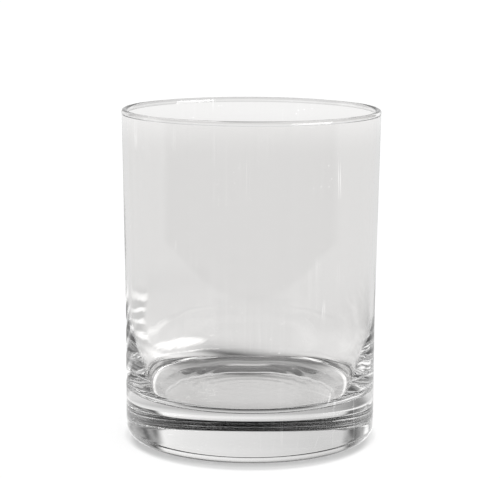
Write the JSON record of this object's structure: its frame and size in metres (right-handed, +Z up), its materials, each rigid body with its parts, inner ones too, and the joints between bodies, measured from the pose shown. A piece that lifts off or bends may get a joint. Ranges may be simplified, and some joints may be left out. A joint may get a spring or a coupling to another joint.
{
  "type": "double old fashioned glass",
  "caption": "Short, wide drinking glass with near-straight sides, a rounded lip and a thick, heavy clear base; holds a spirit or cocktail over ice.",
  "frame": {"origin": "middle of the foot, on the plane that the glass stands on", "axes": "+Z up along the axis of the glass, towards the lip; X and Y are across it, and the glass is the same all round"},
  "size_m": [0.084, 0.084, 0.108],
  "materials": {
    "clear_glass": "fire-polished, clear and glossy"
  },
  "bodies": {
    "root": {"tumbler": "clear_glass"}
  },
  "joints": []
}
